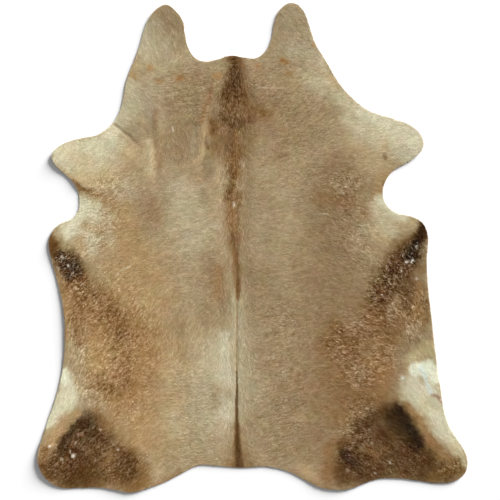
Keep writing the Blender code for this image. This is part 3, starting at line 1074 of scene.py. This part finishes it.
# how far noise moves a place, and how wide its bumps are
WANDER, WANDER_SIZE = 9 * MM, 63 * MM
CROSSING, CROSSING_SIZE = 4.5 * MM, 11 * MM
FINE_SHARE = 0.15
# tints and limits, in steps of the 0 to 255 scale
TINT_SIZE = 48 * MM
DARKEST = np.array((22.0, 17.0, 13.0))
RED_OR_GREEN = np.array((2.4, -1.2, 0.0))
BLUE_OR_YELLOW = np.array((-0.8, -0.8, 2.2))
PALER = np.array((0.95, 1.0, 1.03))


def linear(colour):
    """Light from a screen colour: the standard curve, undone."""
    colour = np.asarray(colour, float) / 255
    return np.where(colour <= 0.04045, colour / 12.92, ((colour + 0.055) / 1.055) ** 2.4)


def coat_colour(x, y, lighter=0.0):
    """Colour of the coat at each place, as light: the base fawn with every marking mixed over it in turn.

    Wander and crossing move each place, and wobble swells and shrinks the strokes. Two soft noises tint the
    sum. Lighter is added times PALER: pale hair is a little greyer than dark hair."""
    colour = np.ones((len(x), 3)) * np.array(HAIR["fawn"], float)
    wander = WANDER * np.stack([clouds(x, y, WANDER_SIZE, seed) for seed in (3, 7)])
    u, v = x / CROSSING_SIZE, y / CROSSING_SIZE
    crossing = CROSSING * np.stack([soft_noise(u, v, seed) for seed in (31, 47)])
    wobble = 0.16 * clouds(x, y, 130 * MM, 61) + 0.10 * clouds(x, y, 30 * MM, 62)
    for table, share in ((MARKINGS, 1.0), (FINE_MARKINGS, FINE_SHARE)):
        moved = np.stack([x, y]) + share * (wander + crossing)
        for shade, strength, edge, *path in table:
            cover = strength * stroke(*moved, path, edge, share * wobble)[:, None]
            colour += cover * (np.array(HAIR[shade], float) - colour)
    for tint, seed in ((RED_OR_GREEN, 71), (BLUE_OR_YELLOW, 72)):
        colour += clouds(x, y, TINT_SIZE, seed, 4)[:, None] * tint
    colour += np.broadcast_to(lighter, len(x))[:, None] * PALER
    return linear(np.maximum(colour, DARKEST)) * COAT_GAIN


def painted(colour):
    """Adds the fourth value that Blender's colours have."""
    return np.column_stack([colour, np.ones(len(colour))])


print("the coat at the middle of the back is", (coat_colour(np.zeros(1), np.zeros(1))[0]).round(3))

# %% [markdown]
# Grizzled and calm places
#
# On the legs and saddle the coat is calm: its hairs match. On the flanks, where brown meets fawn, dark and
# pale hairs stand side by side in small waves, and the coat looks grizzled. Strokes say how strong that is.

# %% Grizzle
# name, strength, then points on its path: across, along, half-width; in mm
GRIZZLE = (
    ("left belly", 1, (-850, -60, 50), (-780, -170, 50)),
    ("left flank", 0.6, (-760, -230, 80), (-650, -320, 100), (-600, -430, 100), (-620, -560, 90),
        (-690, -640, 80)),
    ("left flank edge", 0.55, (-800, -300, 50), (-760, -500, 50), (-740, -640, 50)),
    ("left flank upper", 0.3, (-640, -150, 80), (-500, -330, 80), (-480, -560, 60), (-560, -740, 80)),
    ("left hind", 0.52, (-860, -960, 90), (-740, -850, 80), (-640, -980, 90), (-560, -980, 70)),
    ("left frost", 0.25, (-560, 290, 50), (-640, 200, 60), (-700, 20, 60)),
    ("right belly", 1, (740, 0, 40), (640, -100, 60), (560, -220, 50)),
    ("right flank", 0.6, (700, -230, 60), (560, -330, 80), (400, -420, 70), (480, -560, 80),
        (600, -480, 60)),
    ("right rump", 0.6, (500, -720, 60), (440, -820, 50)),
    ("right hind", 0.4, (480, -960, 80), (700, -960, 90)),
    ("right ribs", 0.3, (430, 200, 70), (480, 0, 90), (520, -80, 60)),
    ("right frost", 0.45, (380, 300, 50), (450, 290, 50)),
    ("left armpit", 0.4, (-760, -10, 40), (-700, 60, 60), (-640, 150, 60)),
    ("left elbow", 0.4, (-700, 250, 50), (-620, 300, 40)),
    ("right belly low", 0.6, (745, -230, 50), (710, -380, 50)),
    ("right toe", 0.5, (870, -1000, 50), (930, -970, 30)),
    ("right hind front", 0.6, (500, -860, 40), (420, -940, 40)),
    ("poll", 0.45, (-90, 820, 30), (-90, 660, 70), (-90, 560, 60)),
    ("withers", 0.3, (-90, 440, 50), (-90, 100, 40)),
    ("loin", 0.22, (130, -330, 90), (140, -600, 110), (120, -850, 110)),
    ("left croup", 0.16, (-330, -560, 80), (-240, -760, 100), (-240, -900, 90)),
    ("neck", 0.18, (-300, 700, 120), (200, 700, 120), (200, 400, 120)),
)
# length and width of streaks of like hair
CALM_STREAK = (17 * MM, 7.2 * MM)
SHORT_STREAK = (11 * MM, 5 * MM)
TUFT = (7 * MM, 4 * MM)
# how much lighter hair gets, in steps of the 0 to 255 scale
CALM_WAVES, GRIZZLED_WAVES = 12.8, 54.0
CALM_LUCK, GRIZZLED_LUCK = 5.0, 32.0
PALE_HAIR, PALE_LUCK = 26.0, 1.4
BROAD_WAVES, BROAD_SIZE = 4.0, 70 * MM


def grizzle(x, y):
    """How grizzled the coat is at each place, 0 to 1: the strongest of the strokes."""
    strength = np.zeros_like(x)
    for _, most, *path in GRIZZLE:
        strength = np.maximum(strength, most * stroke(x, y, path, 3))
    return strength


def grain(x, y, luck):
    """How much lighter the hair is at each place: long waves in calm coat, short ones where it is grizzled.

    Each lock also has its own luck, and the luckiest in grizzled places are pale."""
    strength = grizzle(x, y)
    calm = CALM_WAVES * streaks(x, y, *CALM_STREAK, 5)
    short = streaks(x, y, *SHORT_STREAK, 6) + 0.5 * streaks(x, y, *TUFT, 7)
    lots = (CALM_LUCK + GRIZZLED_LUCK * strength) * luck + PALE_HAIR * strength**2 * (luck > PALE_LUCK)
    broad = BROAD_WAVES * clouds(x, y, BROAD_SIZE, 15)
    return calm + GRIZZLED_WAVES * strength * short + lots + broad


shown = grain(ROOM_X, 0 * ROOM_X, 0 * ROOM_X)
print("hair across the middle is from", shown.min().round(1), "to", shown.max().round(1), "steps lighter")

# %% [markdown]
# Finishes of the skin
#
# The underfur shows only in slits between the locks, as a darker, duller version of their colour. The back
# of the skin is suede: a nap of split fibres, tan, with cloudy patches. The shears leave a paler raw edge.

# %% Underfur
underfur = Finish("underfur", Roughness=0.85, Specular_IOR_Level=0.02)
place = underfur.node("ShaderNodeTexCoord", output="Object")
wool = underfur.noise(place, scale=420.0, detail=3.0, rough=0.6)
deep = underfur.blend(1.0, underfur.kept("coat"), underfur.grey(0.62 + wool * 0.30), "MULTIPLY")
underfur.feed(
    Base_Color=deep,
    Normal=underfur.node("ShaderNodeBump", {}, {"Strength": 0.5, "Distance": 0.6 * MM, "Height": wool}),
)
print("finish:", underfur.material.name)

# %% Suede and raw edge
suede = Finish("suede_back", Roughness=0.92, Sheen_Weight=0.15, Sheen_Roughness=0.5)
place = suede.node("ShaderNodeTexCoord", output="Object")
patches = suede.noise(place, scale=7.0, detail=4.0, rough=0.55)
nap = suede.noise(place, scale=700.0, detail=3.0, rough=0.65)
tan = suede.blend(patches, (0.42, 0.30, 0.19, 1.0), (0.62, 0.50, 0.36, 1.0))
suede.feed(
    Base_Color=suede.blend(1.0, tan, suede.grey(0.80 + nap * 0.35), "MULTIPLY"),
    Normal=suede.node("ShaderNodeBump", {}, {"Strength": 0.35, "Distance": 0.4 * MM, "Height": nap}),
)

raw_edge = Finish("raw_edge", Roughness=0.8)
place = raw_edge.node("ShaderNodeTexCoord", output="Object")
fibres = raw_edge.noise(place, scale=900.0)
raw_edge.feed(
    Base_Color=raw_edge.blend(fibres, (0.40, 0.31, 0.22, 1.0), (0.58, 0.48, 0.36, 1.0)),
    Normal=raw_edge.node("ShaderNodeBump", {}, {"Strength": 0.4, "Distance": 0.3 * MM, "Height": fibres}),
)
print("finishes:", suede.material.name, raw_edge.material.name)

# %% The skin
# the rim's first strips are fur, the next are the raw cut, and the last are suede
FUR_STRIPS, CUT_STRIPS = 5, 3
FUR_FACES_UP = 0.35

finishes = [underfur.material, raw_edge.material, suede.material]
skin = make_piece("skin", points, [rim_faces, top_faces, back_faces], finishes)
add_values(skin, "coat", painted(coat_colour(points[:, 0], points[:, 1])))
strip = np.arange(len(rim_faces)) // len(EDGE)
finish_of_rim = np.select([strip < FUR_STRIPS, strip < FUR_STRIPS + CUT_STRIPS], [0, 1], 2)
finish_of_face = np.concatenate([finish_of_rim, np.zeros(len(top_faces)), np.full(len(back_faces), 2)])
skin.data.polygons.foreach_set("material_index", finish_of_face.astype(np.int32))
normals = np.empty(len(points) * 3, np.float32)
skin.data.vertex_normals.foreach_get("vector", normals)
normals = normals.reshape(-1, 3)
furry = normals[:, 2] > FUR_FACES_UP
normals[furry] = upright(points[furry, 0], points[furry, 1])
skin.data.normals_split_custom_set_from_vertices(normals.tolist())
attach(skin, "root")
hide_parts("cowhide")

# %% [markdown]
# Locks of hair
#
# Single hairs are far too many, but short hair lies in locks, a few hairs that cling together. Each lock
# here is a narrow leaf of three triangles: a root in the fur, a belly at its widest, and a pointed tip.
# Four layers of them lie on each other like tiles, the undermost shortest. Roots stand on a jittered net,
# so no two layers line up. Tips that would hang far over the cut edge are cut back, as the shears do.

# %% One layer of locks
LOCK_NET = 6.85 * MM
ROOT_ROOM = 0.6 * MM
OVERHANG = 2.2 * MM
OWN_SLOPE = 0.4
# how far locks turn, bend and roll at random: everywhere, and more where the coat is grizzled
TURN, WILD_TURN, SWIRL, SWIRL_SIZE = 0.14, 0.30, 0.30, 42 * MM
BEND, WILD_BEND, ROLL = 0.10, 0.20, 0.16
# a lock's five points: how far along it, how many half-widths aside, and how much of its rise they have
ALONG = np.array((0.0, 0.0, 0.45, 0.45, 1.0))
SIDE = np.array((-0.7, 0.7, -1.0, 1.0, 0.0))
LIFT = np.array((0.0, 0.0, 0.85, 0.85, 1.0))


def lock_layer(seed, length, width, low, high):
    """One layer of locks: points, normals, faces, each point's lock, its place on it, and lock middles.

    A lock's middle line is root + length * (t * ahead + bend * t * t * aside), with t from root to tip. Its
    height is the fur's there, plus a rise from low to high, and its half-width goes out along aside, tilted
    by a small roll. Five points sit at t = 0, 0, 0.45, 0.45 and 1. Its normal is the hide's, turned by a
    share of the lock's own slopes, as hair lets light through and never shades as hard as a leaf."""
    dice = np.random.default_rng(seed)
    net_x, net_y = np.meshgrid(np.arange(LOW[0], HIGH[0], LOCK_NET), np.arange(LOW[1], HIGH[1], LOCK_NET))
    x = net_x.ravel() + dice.uniform(-0.5, 0.5, net_x.size) * LOCK_NET
    y = net_y.ravel() + dice.uniform(-0.5, 0.5, net_x.size) * LOCK_NET
    keep = room(x, y) > ROOT_ROOM
    x, y = x[keep], y[keep]
    count = len(x)
    wild = grizzle(x, y)
    turn = stream(x, y) + (TURN + WILD_TURN * wild) * dice.standard_normal(count)
    turn = turn + SWIRL * clouds(x, y, SWIRL_SIZE, 23, 2)
    ahead = np.stack([np.cos(turn), np.sin(turn)], axis=1)
    aside = np.stack([-ahead[:, 1], ahead[:, 0]], axis=1)
    reach = length * dice.uniform(0.78, 1.22, count)
    tip_room = room(x + reach * ahead[:, 0], y + reach * ahead[:, 1])
    spare = (room(x, y) + OVERHANG) / np.maximum(room(x, y) - tip_room, 1e-6)
    reach *= np.where(tip_room < -OVERHANG, np.clip(spare, 0.25, 1), 1)
    bend = (BEND + WILD_BEND * wild) * dice.standard_normal(count)
    roll = ROLL * dice.standard_normal(count)
    rise = (high - low) * dice.uniform(0.8, 1.2, count)
    half = 0.5 * width * dice.uniform(0.75, 1.25, count)
    t = ALONG[None, :]
    middle = (
        np.stack([x, y], axis=1)[:, None, :]
        + (reach[:, None] * t)[..., None] * ahead[:, None, :]
        + (reach[:, None] * bend[:, None] * t * t)[..., None] * aside[:, None, :]
    )
    off = half[:, None] * SIDE[None, :]
    flat = middle + off[..., None] * aside[:, None, :]
    fur = fur_top(middle[..., 0].ravel(), middle[..., 1].ravel()).reshape(count, 5)
    z = fur + low + rise[:, None] * LIFT[None, :] + off * roll[:, None]
    points = np.concatenate([flat, z[..., None]], axis=2).reshape(-1, 3)
    own = (rise / reach)[:, None] * ahead + roll[:, None] * aside
    normals = upright(x, y, OWN_SLOPE * own)
    first = np.arange(count)[:, None] * 5
    quads = first + np.array((0, 2, 3, 1))
    tips = first + np.array((2, 4, 3))
    lock = np.repeat(np.arange(count), 5)
    place = np.column_stack([np.tile(SIDE, count), np.tile(ALONG, count), np.repeat(dice.random(count), 5)])
    centre = np.stack([x, y], axis=1) + 0.5 * reach[:, None] * ahead
    return points, normals[lock], [quads, tips], lock, place, centre


# %% [markdown]
# Finish of the hair
#
# Each lock carries its own colour, taken at its middle, so markings end in a fringe of whole locks as on a
# real coat. Roots are darker than tips, strands run along the lock, and the hair is dry, with no sheen.

# %% Hair finish
hair = Finish("cow_hair", Specular_IOR_Level=0.02)
where = hair.node("ShaderNodeSeparateXYZ", {}, {"Vector": hair.kept("lock_place", "Vector")})
side, along, luck = (Wire(hair, where.socket.node.outputs[k]) for k in range(3))
strand_place = hair.node("ShaderNodeCombineXYZ", {}, {0: side * 3.5, 1: along * 0.8, 2: luck * 90.0})
strand = hair.noise(strand_place, scale=1.0, rough=0.6)
tone = 0.80 + along * 0.22 + (strand - 0.5) * 1.1
hair.feed(
    Base_Color=hair.blend(1.0, hair.kept("coat"), hair.grey(tone), "MULTIPLY"),
    Roughness=0.55 + strand * 0.16,
)
print("finish:", hair.material.name)

# %% Four layers of locks
# name, seed, length, width, lowest and highest above the fur; in mm
LAYERS = (
    ("under_hair", 101, 11.5, 2.4, -0.25, 0.20),
    ("lower_hair", 102, 12.5, 2.4, -0.25, 0.40),
    ("upper_hair", 103, 13.0, 2.5, -0.20, 0.60),
    ("top_hair", 104, 13.0, 2.5, -0.15, 0.80),
)

for name, seed, *sizes in LAYERS:
    points, normals, faces, lock, place, centre = lock_layer(seed, *(size * MM for size in sizes))
    layer = make_piece(name, points, faces, [hair.material], normals)
    luck = np.random.default_rng(seed + 50).standard_normal(len(centre))
    shade = grain(centre[:, 0], centre[:, 1], luck)
    add_values(layer, "coat", painted(coat_colour(centre[:, 0], centre[:, 1], shade))[lock])
    add_values(layer, "lock_place", place)
    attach(layer, "root")
